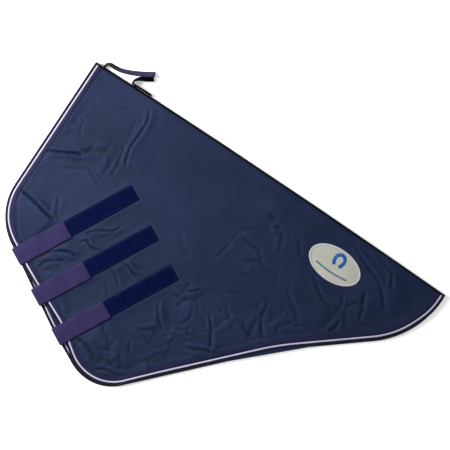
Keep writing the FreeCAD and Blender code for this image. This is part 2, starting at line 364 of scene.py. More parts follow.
def shade_by(material, attribute, low, high, deep, proud):
    """Darkens the dye with painted shade in the hollows and lightens it with a painted highlight on the
    swells, from an attribute.
    """
    tree = material.node_tree
    relief = add_node(tree, "ShaderNodeAttribute", attribute_name=attribute)
    spread = add_node(tree, "ShaderNodeMapRange", {
        "Value": relief.outputs["Fac"], "From Min": low, "From Max": high, "To Min": deep,
        "To Max": proud}, interpolation_type="SMOOTHSTEP")
    shade = add_node(tree, "ShaderNodeVectorMath", {
        0: tree.nodes["threads"].outputs["Result"], "Scale": spread.outputs["Result"]},
        operation="SCALE")
    tree.links.new(shade.outputs["Vector"],
                   tree.nodes["Principled BSDF"].inputs["Base Color"])


# Painted shade in the shell's creases and a painted highlight on its swells, scaled by the cloth's relief.
shade_by(shell_cloth, "relief", -1.8, 1.0, 0.38, 1.1)
lining_cloth = cloth_material("Dark lining cloth", (20, 25, 46), (30, 36, 60), rough=0.42,
                              pitch=(0.0005, 0.0005), depth=0.00008, sheen=0.08, patch=14.0)
wadding_fibre = cloth_material("Wadding fibre", (196, 198, 202), (226, 226, 224), rough=0.9,
                               pitch=(0.004, 0.004), depth=0.0006, slub=1.6, patch=30.0)


def beside_strap(start, u, v):
    """Places measured along a strap's run, and how far off its middle they lie."""
    u, v = u - start[0], v - start[1]
    return u * STRAP_RUN[0] + v * STRAP_RUN[1], np.abs(u * STRAP_SIDE[0] + v * STRAP_SIDE[1])


def over_anchors(u, v):
    """1 where a strap's sewn-down end lies under the far half, easing to 0 beside it."""
    cover = np.zeros(np.shape(u))
    for start in STRAP_STARTS.values():
        along, off = beside_strap(start, u, v)
        edge = np.minimum(ANCHOR_REACH - along, ANCHOR_HALF - off)
        cover = np.maximum(cover, ease((edge + 4) / 6))
    return cover


def rucks(flat):
    """Slight waves in a lining."""
    return 0.15 * np.sin(flat[:, 0] * 0.05) * np.sin(flat[:, 1] * 0.043 + flat[:, 0] * 0.02)


def far_underside(u, v):
    """Height of the far half's outer face above the floor."""
    room = ease((inside(u, v, far_line[::4]) - 14) / 30) * ease((v - 20) / 30)
    waves = np.sin(u * 0.021 + v * 0.013) * np.sin(v * 0.017 - u * 0.008 + 1.0)
    ripples = np.sin(u * 0.063 - v * 0.031) * np.sin(v * 0.054 + 0.6)
    rise = np.clip(0.9 * waves + 0.5 * ripples, 0, 1.3) * room
    return np.maximum(rise, ANCHOR_THICK * over_anchors(u, v))


far_flat, far_triangles = fill_half(inset(far_line, SEAM_TUCK), FOLD_DEPTH + 2, FAR_MESH)
underside = far_underside(far_flat[:, 0], far_flat[:, 1])
far_shell = skin("far_shell_cloth", far_flat, far_triangles, underside + CLOTH, underside,
                 shell_cloth)
pad_top = np.full(len(far_flat), FAR_TOP - 0.7)
far_pad = skin("far_wadding_pad", far_flat, far_triangles, pad_top,
               np.minimum(underside + CLOTH + 0.05, pad_top - 0.5), wadding_fibre)
ruck = rucks(far_flat)
far_lining = skin("far_lining_cloth", far_flat, far_triangles, FAR_TOP + ruck,
                  FAR_TOP - LINING + ruck, lining_cloth)
for piece, node in ((far_shell, "far_outer_shell"), (far_pad, "far_wadding"),
                    (far_lining, "far_lining")):
    fasten(piece, "far_half", node)


def mark_relief(piece, triangles, heights, passes, share=1.0):
    """Keeps how far each point stands above the cloth around it, for the painted shade and highlight to
    follow.
    """
    pairs = np.array(sorted({tuple(sorted(pair)) for t in triangles
                             for pair in zip(t, t[1:] + t[:1])}))
    count = len(heights)
    degree = np.bincount(pairs.ravel(), minlength=count)
    around = heights.astype(float).copy()
    for _ in range(passes):
        total = np.bincount(pairs[:, 0], around[pairs[:, 1]], count)
        total += np.bincount(pairs[:, 1], around[pairs[:, 0]], count)
        around = 0.4 * around + 0.6 * total / degree
    relief = np.zeros(len(piece.data.vertices), np.float32)
    relief[:count] = (heights - around) * share
    layer = piece.data.attributes.new("relief", "FLOAT", "POINT")
    layer.data.foreach_set("value", relief)


mark_relief(far_shell, far_triangles, underside, 6)


# ---------------------------------------------------------------------------
# Near half.  The same layers, turned over on top of the far half and lying face up.  It has
# been folded for packing, so sharp creases run in from the head end and between the straps,
# long soft ones hang from the crest, and short crumples gather towards the chest.
NEAR_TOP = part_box("near_outer_shell")[1].z / MM
NEAR_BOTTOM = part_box("near_lining")[0].z / MM
NEAR_PRESSED = NEAR_TOP - 0.9
WADDING_RISE, SEWN_RISE, CREST_RISE = 2.0, 0.7, 2.0
PRESSED_HALF, PRESSED_TO = 36, 372
NEAR_MESH, TRIAL_MESH = 5.0, 8.0
SETTLING = 24
NEAR_EDGE = [(0, FOLD_DEPTH, 0), (2, 480, 157), (140, 559, 200), (300, 631, 120),
             (460, 745, 125), (815, 369.5, 700), (CREST_LENGTH, 137, 245),
             (CREST_LENGTH, FOLD_DEPTH, 0)]
# Each crease: depth, width, swell beside it, reach of the swell, and its line.
CREASES = [
    (3.6, 3.2, 3.2, 26, [(17, 272), (58, 253), (99, 230), (112, 237)]),
    (1.2, 7.0, 1.0, 22, [(96, 222), (118, 205), (140, 190), (166, 176)]),
    (1.2, 6.0, 0.8, 18, [(28, 176), (48, 160), (70, 147)]),
    (0.9, 5.0, 0.7, 16, [(68, 293), (108, 270), (152, 246), (196, 262)]),
    (2.4, 4.2, 1.5, 24, [(180, 20), (199, 59), (202, 100), (201, 140), (208, 170), (222, 206)]),
    (1.5, 6.0, 1.0, 20, [(181, 138), (192, 177), (199, 205), (202, 240)]),
    (0.7, 8.0, 0.6, 24, [(94, 92), (118, 70), (146, 58)]),
    (0.9, 6.0, 0.6, 18, [(165, 64), (177, 96), (181, 124)]),
    (3.4, 3.6, -4.2, 46, [(14, 393), (62, 397), (114, 408), (150, 413)]),
    (1.8, 6.0, 0.6, 20, [(114, 352), (130, 380), (146, 408)]),
    (2.0, 4.0, 1.2, 14, [(22, 396), (37, 430), (56, 462), (79, 491), (102, 508)]),
    (1.8, 3.4, 1.6, 14, [(226, 398), (243, 377), (268, 360), (288, 344), (297, 326)]),
    (1.3, 3.4, 1.2, 12, [(262, 384), (276, 370), (290, 346)]),
    (2.6, 3.4, 2.0, 14, [(228, 424), (241, 408), (258, 416), (288, 411)]),
    (3.6, 3.2, 3.0, 20, [(160, 520), (177, 488), (205, 465), (229, 457), (253, 459)]),
    (1.7, 4.2, 1.6, 14, [(172, 541), (184, 514), (205, 496), (224, 482)]),
    (1.4, 4.2, 1.2, 12, [(150, 545), (171, 520), (190, 508)]),
    (2.8, 3.4, 2.2, 18, [(334, 412), (368, 403), (391, 412), (408, 410)]),
    (1.6, 4.2, 1.4, 18, [(312, 440), (340, 437), (362, 448), (378, 468)]),
    (1.0, 5.0, 0.9, 16, [(340, 402), (370, 396), (399, 388), (430, 380)]),
    (1.4, 5.0, 1.2, 14, [(250, 580), (276, 588), (297, 606)]),
    (1.7, 4.4, 1.4, 20, [(484, 429), (496, 455), (518, 478), (538, 494)]),
    (1.1, 6.0, 1.0, 18, [(478, 530), (502, 514), (527, 497)]),
    (1.7, 5.0, 1.4, 16, [(479, 560), (487, 575), (497, 590)]),
    (2.2, 7.0, 2.0, 22, [(352, 640), (378, 635), (412, 644), (434, 660)]),
    (2.4, 5.0, 2.2, 20, [(442, 680), (469, 662), (502, 656), (531, 643)]),
    (1.3, 12.0, 0.8, 30, [(430, 257), (458, 281), (490, 293)]),
    (2.0, 13.0, 1.2, 34, [(590, 84), (630, 97), (657, 113), (670, 140), (681, 172)]),
    (0.8, 9.0, 0.6, 24, [(543, 18), (548, 44)]),
    (1.2, 8.0, 0.9, 24, [(558, 195), (552, 227), (544, 270)]),
    (1.0, 8.0, 0.8, 22, [(562, 172), (613, 178), (640, 169)]),
    (1.2, 7.0, 0.9, 22, [(605, 222), (627, 212), (650, 201)]),
    (1.9, 6.0, -1.6, 26, [(708, 279), (727, 288), (731, 313), (743, 340), (763, 363), (775, 373)]),
    (1.2, 8.0, -1.0, 24, [(722, 300), (727, 333), (728, 367), (738, 399)]),
    (1.3, 9.0, 1.0, 28, [(738, 212), (757, 230), (777, 247), (803, 264), (830, 290)]),
    (1.9, 6.0, 1.5, 26, [(779, 152), (800, 167), (830, 187), (857, 197), (882, 201)]),
    (2.8, 7.0, -1.8, 22, [(904, 208), (908, 231), (896, 256)]),
    (2.0, 7.0, 1.6, 24, [(918, 113), (933, 143), (943, 170), (951, 191)]),
    (1.8, 6.0, 1.5, 26, [(818, 8), (837, 30), (862, 44), (893, 57), (925, 68), (955, 88),
                         (981, 117), (1004, 138)]),
    (2.3, 6.0, 1.8, 22, [(888, 14), (927, 23), (953, 37), (964, 54), (979, 73)]),
    (2.2, 3.4, 1.8, 18, [(611, 388), (627, 403), (644, 424), (658, 448), (672, 464)]),
    (2.3, 3.2, 1.9, 16, [(561, 348), (548, 362), (532, 371)]),
    (2.5, 5.0, 2.2, 20, [(598, 501), (627, 490), (654, 477), (681, 467), (709, 462)]),
    (1.4, 5.0, 1.2, 16, [(554, 372), (540, 397), (531, 424)]),
    (1.2, 4.0, 1.1, 13, [(570, 398), (574, 416), (579, 436)]),
    (1.3, 4.0, 1.2, 12, [(588, 452), (596, 463), (610, 462)]),
    (1.2, 4.0, 1.1, 12, [(560, 478), (578, 461), (598, 446)]),
    (1.2, 4.5, 1.0, 13, [(548, 500), (566, 487), (590, 478)]),
    (1.0, 5.0, 0.8, 14, [(556, 528), (569, 508), (574, 492)]),
]
# Slow swells of the wadding: height, radius and place of each.
SWELLS = [(-3.0, 34, 95, 375), (-2.2, 26, 132, 392), (4.0, 48, 62, 425), (2.6, 40, 30, 330),
          (-2.4, 30, 640, 120), (3.0, 34, 600, 60), (2.8, 34, 700, 90), (-2.4, 24, 724, 305),
          (2.8, 30, 765, 330), (-2.2, 24, 440, 655), (3.2, 34, 395, 610), (3.0, 34, 485, 610),
          (-2.6, 26, 900, 232), (2.6, 28, 860, 240), (2.8, 30, 945, 215), (-2.2, 24, 950, 60),
          (3.0, 30, 915, 110), (2.6, 28, 985, 80), (2.4, 30, 560, 420), (-2.2, 22, 600, 470),
          (3.0, 30, 640, 500), (2.6, 26, 165, 215), (2.2, 26, 230, 165), (-1.8, 24, 205, 175),
          (2.6, 90, 330, 190), (2.2, 70, 455, 330), (1.6, 80, 610, 45), (2.0, 90, 640, 250),
          (1.8, 60, 300, 420), (2.4, 70, 80, 330), (1.8, 60, 60, 210), (2.0, 60, 130, 120),
          (2.2, 80, 860, 120), (1.6, 60, 700, 380), (2.0, 70, 560, 580), (1.8, 70, 420, 600),
          (2.2, 60, 110, 455), (1.8, 90, 520, 120), (2.0, 80, 990, 60), (1.6, 60, 770, 300)]

CREASE_FORCE = 1.35
# Short loose wrinkles where the cloth has width to spare, thrown at random from one seed.
chance = np.random.RandomState(11)
WRINKLED = [(600, 430, 120, 90, 20), (450, 620, 90, 45, 8), (950, 140, 90, 60, 8),
            (740, 320, 80, 70, 9), (195, 490, 55, 35, 5), (120, 200, 80, 90, 8),
            (390, 500, 70, 80, 7), (640, 180, 100, 90, 7), (520, 560, 60, 40, 6)]
for centre_u, centre_v, spread_u, spread_v, number in WRINKLED:
    for _ in range(number):
        u = centre_u + chance.uniform(-1, 1) * spread_u
        v = centre_v + chance.uniform(-1, 1) * spread_v
        heading = chance.uniform(0, math.pi)
        turn = chance.uniform(-0.5, 0.5)
        length = chance.uniform(30, 90)
        spine = [(u, v)]
        for part in range(3):
            u += length / 3 * math.cos(heading + part * turn)
            v += length / 3 * math.sin(heading + part * turn)
            spine.append((u, v))
        CREASES.append((chance.uniform(0.3, 1.1), chance.uniform(3.0, 6.0),
                        chance.choice([-1, 1]) * chance.uniform(0.4, 1.3),
                        chance.uniform(16, 34), spine))
# Where the cloth has width to spare: share, radius and place.
SPARE_CLOTH = [(1.0, 130, 600, 430), (0.8, 90, 450, 640), (0.8, 120, 930, 160),
               (0.7, 90, 820, 260), (0.6, 90, 740, 330), (0.8, 80, 200, 500), (0.8, 80, 290, 400),
               (0.8, 70, 390, 420), (0.5, 90, 120, 240), (0.5, 80, 200, 130),
               (0.7, 90, 520, 520), (0.5, 80, 650, 130)]
LEAST_SPARE = 0.12
BUCKLE_LIMITS = (-3.0, 6.0)


def flowing(points, step=3.0):
    """Smooth line through a few points."""
    points = np.array(points, float)
    if len(points) < 3:
        return evenly(points, step)
    padded = np.vstack([2 * points[0] - points[1], points, 2 * points[-1] - points[-2]])
    path = []
    for a, b, c, d in zip(padded, padded[1:], padded[2:], padded[3:]):
        for t in np.linspace(0, 1, 12, endpoint=False):
            path.append(0.5 * (2 * b + (c - a) * t + (2 * a - 5 * b + 4 * c - d) * t * t
                               + (3 * b - a - 3 * c + d) * t ** 3))
    path.append(points[-1])
    return evenly(path, step)


def lie(u, v):
    """Rise and fall of the near half's outer cloth over its creases and swells."""
    height = np.zeros(np.shape(u))
    for rise, radius, centre_u, centre_v in SWELLS:
        height += 0.75 * rise * np.exp(-((u - centre_u) ** 2 + (v - centre_v) ** 2) / radius ** 2)
    for depth, width, swell, reach, points in CREASES:
        path = flowing(points, 6.0)
        low, high = path.min(0) - 3.2 * reach, path.max(0) + 3.2 * reach
        near = (u > low[0]) & (u < high[0]) & (v > low[1]) & (v < high[1])
        if not near.any():
            continue
        signed, share = from_line(u[near], v[near], path)
        fade = CREASE_FORCE * ease(share / 0.18) * ease((1 - share) / 0.18)
        off = np.abs(signed)
        width = 0.85 * width
        valley = np.exp(-(off / width) ** 2)
        side = np.where(signed * swell < 0, 1.0, 0.35) * abs(swell)
        bank = side * (1 - valley) * np.exp(-(off / reach) ** 1.5)
        height[near] += fade * (bank - depth * valley)
    return height


def sewn_flat(u, v):
    """1 along the straps and loop strips, which are sewn and pressed flat, easing to 0."""
    flatness = np.zeros(np.shape(u))
    for start in STRAP_STARTS.values():
        along, off = beside_strap(start, u, v)
        strip = ease((PRESSED_HALF - off) / 11) * ease((along + 30) / 20) * ease((PRESSED_TO - along) / 22)
        flatness = np.maximum(flatness, strip)
    return flatness


def near_face(u, v):
    """Height of the near half's outer face: padded in the middle, pressed flat at the seams."""
    u = np.asarray(u, float)
    v = np.asarray(v, float)
    edge = inside(u, v, near_line[::4])
    puff = 1 - np.exp(-np.clip(edge - 16, 0, None) / 17)
    puff *= 0.25 + 0.75 * (1 - np.exp(-np.clip(v - FOLD_DEPTH, 0, None) / 22))
    settle = ease((edge - 4) / 34) * ease(v / 26)
    rise = WADDING_RISE * puff + settle * lie(u, v)
    flatness = sewn_flat(u, v)
    rise = rise * (1 - flatness) + SEWN_RISE * flatness * ease(edge / 30)
    beside_crest = ease((40 - v) / 16)
    rise = rise * (1 - beside_crest) + np.minimum(rise, CREST_RISE) * beside_crest
    return NEAR_PRESSED + rise


def settle_cloth(flat, triangles, heights):
    """Lays the outer cloth over its wadding and lets its spare width buckle by itself."""
    mesh = bpy.data.meshes.new("cloth_try")
    mesh.from_pydata([tuple(p) for p in world(flat[:, 0], flat[:, 1], heights)], [], triangles)
    cloth = put_in("cloth_try", mesh)
    edge = inside(flat[:, 0], flat[:, 1], near_line[::4])
    hold = 1 - 0.93 * ease((edge - 18) / 24) * ease((flat[:, 1] - 9) / 22)
    for start in STRAP_STARTS.values():
        along, off = beside_strap(start, flat[:, 0], flat[:, 1])
        sewn = ease((26 - off) / 8) * ease((along - 80) / 10) * ease((360 - along) / 10)
        hold = np.maximum(hold, 0.8 * sewn)
    pins = cloth.vertex_groups.new(name="held")
    for index, weight in enumerate(hold):
        pins.add([index], float(weight), "REPLACE")
    spare = np.full(len(flat), LEAST_SPARE)
    for share, radius, centre_u, centre_v in SPARE_CLOTH:
        near = np.exp(-((flat[:, 0] - centre_u) ** 2 + (flat[:, 1] - centre_v) ** 2) / radius ** 2)
        spare = np.maximum(spare, share * near)
    loose = cloth.vertex_groups.new(name="spare")
    for index, weight in enumerate(spare):
        loose.add([index], float(weight), "REPLACE")
    wadding = bpy.data.meshes.new("wadding_try")
    floor_z = (NEAR_BOTTOM + 1.3) * MM
    wadding.from_pydata([(-2, -2, floor_z), (2, -2, floor_z), (2, 2, floor_z), (-2, 2, floor_z)],
                        [], [(0, 1, 2, 3)])
    under = put_in("wadding_try", wadding)
    under.modifiers.new("Collision", "COLLISION")
    under.collision.thickness_outer = 0.0005
    modifier = cloth.modifiers.new("Cloth", "CLOTH")
    settings = modifier.settings
    for setting, value in (("quality", 4), ("mass", 0.25), ("tension_stiffness", 20),
                           ("compression_stiffness", 20), ("shear_stiffness", 8),
                           ("bending_stiffness", 0.08), ("vertex_group_mass", "held"),
                           ("pin_stiffness", 0.4), ("vertex_group_shrink", "spare"),
                           ("shrink_min", 0.0), ("shrink_max", -0.045)):
        setattr(settings, setting, value)
    settings.effector_weights.gravity = 0.35
    modifier.collision_settings.distance_min = 0.0005
    modifier.point_cache.frame_start = 1
    modifier.point_cache.frame_end = SETTLING
    for moment in range(1, SETTLING + 1):
        bpy.context.scene.frame_set(moment)
    shape = cloth.evaluated_get(bpy.context.evaluated_depsgraph_get()).to_mesh()
    places = np.empty(len(shape.vertices) * 3, np.float32)
    shape.vertices.foreach_get("co", places)
    settled = places.reshape(-1, 3)[:, 2] / MM
    bpy.context.scene.frame_set(1)
    bpy.data.objects.remove(cloth)
    bpy.data.objects.remove(under)
    return np.clip(settled - heights, *BUCKLE_LIMITS)


near_line = rounded(NEAR_EDGE, 4.0)
# Along the shoulder the near half has been laid a little inside the far one.
beyond_chest = np.arange(len(near_line)) > np.argmax(near_line[:, 1])
LAID_IN = 3.2
laid_in = LAID_IN * beyond_chest * ease((near_line[:, 0] - 470) / 140)
laid_in = laid_in * ease((near_line[:, 1] - 40) / 80)
drawn_in = 3.0 * np.exp(-((near_line[:, 1] - 540) / 40) ** 2) * (near_line[:, 0] < 300)
near_line = inset(near_line, laid_in + drawn_in)
crease_rows = []
for depth, width, swell, reach, points in CREASES:
    spine = flowing(points, 4.0)
    for offset in (-1.6 * width, -0.8 * width, 0.0, 0.8 * width, 1.6 * width):
        if abs(offset) < 7 and depth > 1.6:
            crease_rows.append(inset(spine, offset))
near_flat, near_triangles = fill_half(inset(near_line, SEAM_TUCK), FOLD_DEPTH - 2, NEAR_MESH,
                                      crease_rows)
cloth_z = near_face(near_flat[:, 0], near_flat[:, 1])
try_flat, try_triangles = fill_half(inset(near_line, SEAM_TUCK - 3), FOLD_DEPTH - 4,
                                    TRIAL_MESH)
moved = settle_cloth(try_flat, try_triangles, near_face(try_flat[:, 0], try_flat[:, 1]))
spots = [(u * MM, v * MM, lift) for (u, v), lift in zip(try_flat, moved)]
moves = BVHTree.FromPolygons(spots, try_triangles)
for index, (u, v) in enumerate(near_flat):
    hit = moves.ray_cast(Vector((u * MM, v * MM, 50.0)), Vector((0, 0, -1)))
    if hit[0] is not None:
        cloth_z[index] += hit[0].z * (1 - sewn_flat(u, v))
cloth_z = np.maximum(cloth_z, NEAR_BOTTOM + 1.6)
near_shell = skin("near_shell_cloth", near_flat, near_triangles, cloth_z, cloth_z - CLOTH,
                  shell_cloth)
seam_room = inside(near_flat[:, 0], near_flat[:, 1], near_line[::4])
mark_relief(near_shell, near_triangles, cloth_z, 9,
            ease((seam_room - 24) / 20) * ease((near_flat[:, 1] - 16) / 30))
ruck = rucks(near_flat)
near_lining = skin("near_lining_cloth", near_flat, near_triangles, NEAR_BOTTOM + LINING + ruck,
                   NEAR_BOTTOM + ruck, lining_cloth)
near_pad = skin("near_wadding_pad", near_flat, near_triangles, cloth_z - CLOTH - 0.03,
                np.minimum(NEAR_BOTTOM + 0.95, cloth_z - CLOTH - 0.1), wadding_fibre)
for piece, node in ((near_shell, "near_outer_shell"), (near_pad, "near_wadding"),
                    (near_lining, "near_lining")):
    fasten(piece, "near_half", node)


# ---------------------------------------------------------------------------
# Edge binding: ribbed polyester tape folded over the raw edges and stitched through near
# its inner edge.  A groove is left in its face for the piping.
BINDING_WIDTH = 23.0
PIPING_PLACE = 9.8


def loft(name, rings, material, weave, closed=False):
    """Tube through rings of points, capped at both ends or joined end to end."""
    count, around = rings.shape[:2]
    faces = []
    for ring in range(count if closed else count - 1):
        ahead = (ring + 1) % count
        for k in range(around):
            after = (k + 1) % around
            faces.append((ring * around + k, ring * around + after,
                          ahead * around + after, ahead * around + k))
    if not closed:
        faces.append(tuple(range(around)))
        faces.append(tuple((count - 1) * around + k for k in range(around)))
    return finished(name, rings.reshape(-1, 3), faces, material, weave.reshape(-1, 3))


def binding_profile(top_face, bottom_face, bottom_proud):
    """Section of the tape: distances in from the edge, and heights above the two faces."""
    outer = [(BINDING_WIDTH, 0.15), (22.7, 0.75), (19.0, 0.9), (14.5, 0.9), (13.3, 0.8), (12.4, -0.5),
             (7.2, -0.5), (6.9, 0.8), (4.6, 1.0), (2.4, 0.6), (0.9, -0.5), (0.2, -1.7)]
    inner = [(2.4, -1.4), (4.0, -0.7), (11.0, -1.3), (13.5, 0.1), (22.0, 0.1)]
    section = [(d, top_face + h) for d, h in outer]
    section += [(d, bottom_face - bottom_proud * h if h > 0 else bottom_face - h)
                for d, h in outer[::-1]]
    section += [(d, bottom_face + 0.6 - 0.4 * h) for d, h in inner]
    section += [(d, top_face + h - 0.2) for d, h in inner[::-1]]
    return np.array(section)


def along_edge(path, section, face):
    """Rings of a section carried along a free edge, lying on the cloth's own height."""
    rings = []
    sides = sideways(path)
    lengths = run_of(path)
    for distance, height in section:
        places = path + sides * distance
        rise = face(places[:, 0], places[:, 1], distance, height)
        rings.append(world(places[:, 0], places[:, 1], height + rise))
    rings = np.stack(rings, 1)
    across = run_of(section)
    depth = np.broadcast_to(section[:, 0], rings.shape[:2])
    weave = np.stack([np.broadcast_to(lengths[:, None], rings.shape[:2]) * MM,
                      np.broadcast_to(across, rings.shape[:2]) * MM, depth * MM], -1)
    return rings, weave


binding_tape = cloth_material("Purple navy binding tape", (24, 26, 56), (34, 33, 68), rough=0.55,
                              pitch=(0.0016, 0.0011), depth=0.0004, sheen=0.02, along=True,
                              tint=(150, 130, 220), specular=0.12)
# Painted shade: the tape's outer strip, where it rolls down over the edge, is darkened to 0.22 of its dye
# out to 5.8 mm from the edge, easing back by 11.5 mm.
shade_by(binding_tape, "edge_depth", 5.8, 11.5, 0.22, 1.0)


def near_rise(u, v, distance, height):
    """How far the near half's outer face stands off its flat height, faded out below it."""
    if height < NEAR_TOP - 2.5:
        return np.zeros(np.shape(u))
    return near_face(u, v) - NEAR_PRESSED


def no_rise(u, v, distance, height):
    """The far half lies flat."""
    return np.zeros(np.shape(u))


def mark_depth(piece, weave):
    """Keeps each point's distance in from the edge, in millimetres."""
    layer = piece.data.attributes.new("edge_depth", "FLOAT", "POINT")
    layer.data.foreach_set("value", (weave[..., 2].ravel() / MM).astype(np.float32))


BINDINGS = {
    "near": (near_line, binding_profile(NEAR_PRESSED, NEAR_BOTTOM, 0.4), near_rise),
    "far": (far_line, binding_profile(FAR_TOP - 0.3, 0.0, 0.0), no_rise)}
bindings = {}
for side, (line, section, face) in BINDINGS.items():
    rings, weave = along_edge(line, section, face)
    bindings[side] = loft(side + "_binding_tape", rings, binding_tape, weave)
    mark_depth(bindings[side], weave)
    fasten(bindings[side], side + "_half", side + "_edge_binding")


# ---------------------------------------------------------------------------
# Piping: a soft cord covered in near-white cotton, sewn between the edge and the cloth so
# that it shows on both faces of each half.
CORD_RADIUS = 2.4


def tube(path, centre_z, radius, squeeze_floor=None):
    """Rings of a round cord along a line, kept above a floor if one is given."""
    sides = sideways(path)
    lengths = run_of(path)
    rings, weave = [], []
    for angle in np.linspace(0, 2 * math.pi, 14, endpoint=False):
        places = path + sides * (radius * math.sin(angle))
        z = centre_z - radius * 1.02 * math.cos(angle)
        if squeeze_floor is not None:
            z = np.maximum(z, squeeze_floor)
        rings.append(world(places[:, 0], places[:, 1], z))
        weave.append(np.stack([lengths * MM, np.full(len(path), angle * radius * MM),
                               np.zeros(len(path))], -1))
    return np.stack(rings, 1), np.stack(weave, 1)


piping_cover = cloth_material("White piping cover", (184, 182, 214), (206, 204, 230), rough=0.7,
                              pitch=(0.0012, 0.0012), depth=0.0003, sheen=0.0, along=True,
                              tint=(255, 255, 255), patch=30.0, specular=0.1)
cord_line = inset(near_line, PIPING_PLACE)
cord_base = near_face(cord_line[:, 0], cord_line[:, 1]) - NEAR_PRESSED
rings, weave = tube(cord_line, 9.5 + 0.5 * cord_base, CORD_RADIUS)
near_piping = loft("near_piping_cord", rings, piping_cover, weave)
rings, weave = tube(inset(far_line, PIPING_PLACE), np.full(len(far_line), CORD_RADIUS),
                    CORD_RADIUS, 0.02)
far_piping = loft("far_piping_cord", rings, piping_cover, weave)
fasten(near_piping, "near_half", "near_edge_piping")
fasten(far_piping, "far_half", "far_edge_piping")


# ---------------------------------------------------------------------------
# Crest tape: soft black tape wrapped over the fold that joins the two halves.  Its legs are
# sewn down under the outer cloth, so only a thin dark line shows along the crest.
# Painted shade: the tape's near-black dye also stands in for the shade where the fold turns down away from
# the light.
crest_tape = cloth_material("Black crest tape and painted shade", (5, 5, 12), (10, 10, 20), rough=0.7,
                            pitch=(0.0014, 0.001), depth=0.0003, along=True, specular=0.08)
crest_places = np.linspace(1.0, CREST_LENGTH - 1.0, 276)
tape_top = NEAR_TOP + 0.35
section = [(13.0, 1.5), (7.0, 0.25), (3.0, 0.3), (1.0, 1.6), (0.1, 3.8), (0.0, 5.6), (0.2, 7.6),
           (1.2, 9.6), (3.0, tape_top - 0.35), (6.0, tape_top - 0.5), (13.0, tape_top - 1.5),
           (13.0, tape_top - 2.1), (6.0, tape_top - 1.1), (3.4, tape_top - 1.2), (2.0, 8.8),
           (1.2, 7.0), (1.0, 5.6), (1.1, 4.2), (2.0, 2.4), (3.6, 1.2), (7.0, 1.0), (13.0, 2.1)]
section = np.array(section)
rings = np.stack([world(crest_places, depth, z) for depth, z in section], 1)
around = run_of(section)
weave = np.stack([np.broadcast_to(crest_places[:, None] * MM, rings.shape[:2]),
                  np.broadcast_to(around * MM, rings.shape[:2]), np.zeros(rings.shape[:2])], -1)
fold_tape = loft("crest_tape_over_fold", rings, crest_tape, weave)
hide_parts("crest_fold_tape", "near_crest_tape", "far_crest_tape")
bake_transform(fold_tape)


# ---------------------------------------------------------------------------
# Loop strips: three lengths of fuzzy loop tape sewn flat on the near half, in line with the
# straps and long enough for the cover to be closed tight or loose.
LOOP_FROM, LOOP_TO, LOOP_WIDTH = 88.0, 353.0, 45.0


def tree_of(piece):
    """Something a limp strip can be laid on."""
    places = [tuple(vertex.co) for vertex in piece.data.vertices]
    return BVHTree.FromPolygons(places, [tuple(face.vertices) for face in piece.data.polygons])


def rest_on(places, supports, spread=3):
    """Heights, in millimetres, of a limp strip laid over what is under it."""
    flat = world(places[..., 0], places[..., 1], 60.0)
    heights = np.full(places.shape[:2], -1e9)
    for row in range(places.shape[0]):
        for column in range(places.shape[1]):
            for support in supports:
                hit = support.ray_cast(Vector(flat[row, column]), Vector((0, 0, -1)))
                if hit[0] is not None:
                    heights[row, column] = max(heights[row, column], hit[0].z / MM)
    lowest = heights[heights > -1e8].min()
    heights = np.where(heights < -1e8, lowest, heights)
    ridge = heights.copy()
    for axis in (0, 1):
        stack = []
        for shift in range(-spread, spread + 1):
            index = np.clip(np.arange(ridge.shape[axis]) + shift, 0, ridge.shape[axis] - 1)
            stack.append(np.take(ridge, index, axis=axis))
        smooth = np.mean(stack, axis=0)
        ridge = np.maximum(smooth, 0.6 * smooth + 0.4 * np.max(stack, axis=0))
    return np.maximum(ridge, heights)


def ribbon(name, middles, thickness, material):
    """Closed strip of tape about a grid of points in its mid-surface, with soft edges."""
    along = np.gradient(middles, axis=0)
    across = np.gradient(middles, axis=1)
    normal = np.cross(along, across)
    normal /= np.linalg.norm(normal, axis=2)[..., None]
    count, wide = middles.shape[:2]
    plump = np.ones((count, wide))
    plump[:, 0] = plump[:, -1] = 0.35
    plump[:, 1] = plump[:, -2] = 0.85
    plump[0] *= 0.5
    plump[-1] *= 0.5
    offset = normal * (0.5 * thickness * plump * MM)[..., None]
    top, bottom = middles + offset, middles - offset
    ring_points = np.concatenate([top, bottom[:, ::-1]], axis=1)
    lengths = run_of(middles[:, wide // 2])
    widths = run_of(middles[0])
    widths = widths - widths[-1] / 2
    shape = (count, 2 * wide)
    weave = np.stack([np.broadcast_to(lengths[:, None], shape),
                      np.broadcast_to(np.r_[widths, widths[::-1]], shape),
                      np.broadcast_to(np.r_[np.ones(wide), np.zeros(wide)], shape)], -1)
    return loft(name, ring_points, material, weave)


def strap_grid(start, distances, width, columns):
    """Pattern places of a grid along a strap's run, measured from the closing edge."""
    sides = np.linspace(-width / 2, width / 2, columns)
    return (np.array(start) + distances[:, None, None] * STRAP_RUN
            + sides[None, :, None] * STRAP_SIDE)


loop_pile = cloth_material("Loop tape", (2, 10, 46), (6, 16, 60), rough=0.9,
                           pitch=(0.0013, 0.0013), depth=0.0009, sheen=0.03, along=True,
                           slub=1.2, tint=(60, 80, 170), specular=0.04, patch=40.0)
shell_tree = tree_of(near_shell)
loop_strips = {}
loop_rows = {}
for place, start in STRAP_STARTS.items():
    distances = np.arange(LOOP_FROM, LOOP_TO + 0.1, 5.0)
    grid = strap_grid(start, distances, LOOP_WIDTH, 13)
    z = rest_on(grid, [shell_tree], 2) + 0.6
    strip = ribbon("loop_tape_" + place, world(grid[..., 0], grid[..., 1], z), 1.3, loop_pile)
    fasten(strip, "near_half", "loop_strip_" + place)
    loop_strips[place] = strip
    raised = world(grid[..., 0], grid[..., 1], z + 0.75)
    loop_rows[place] = [raised[:, 1], raised[:, -2], raised[-2], raised[1]]


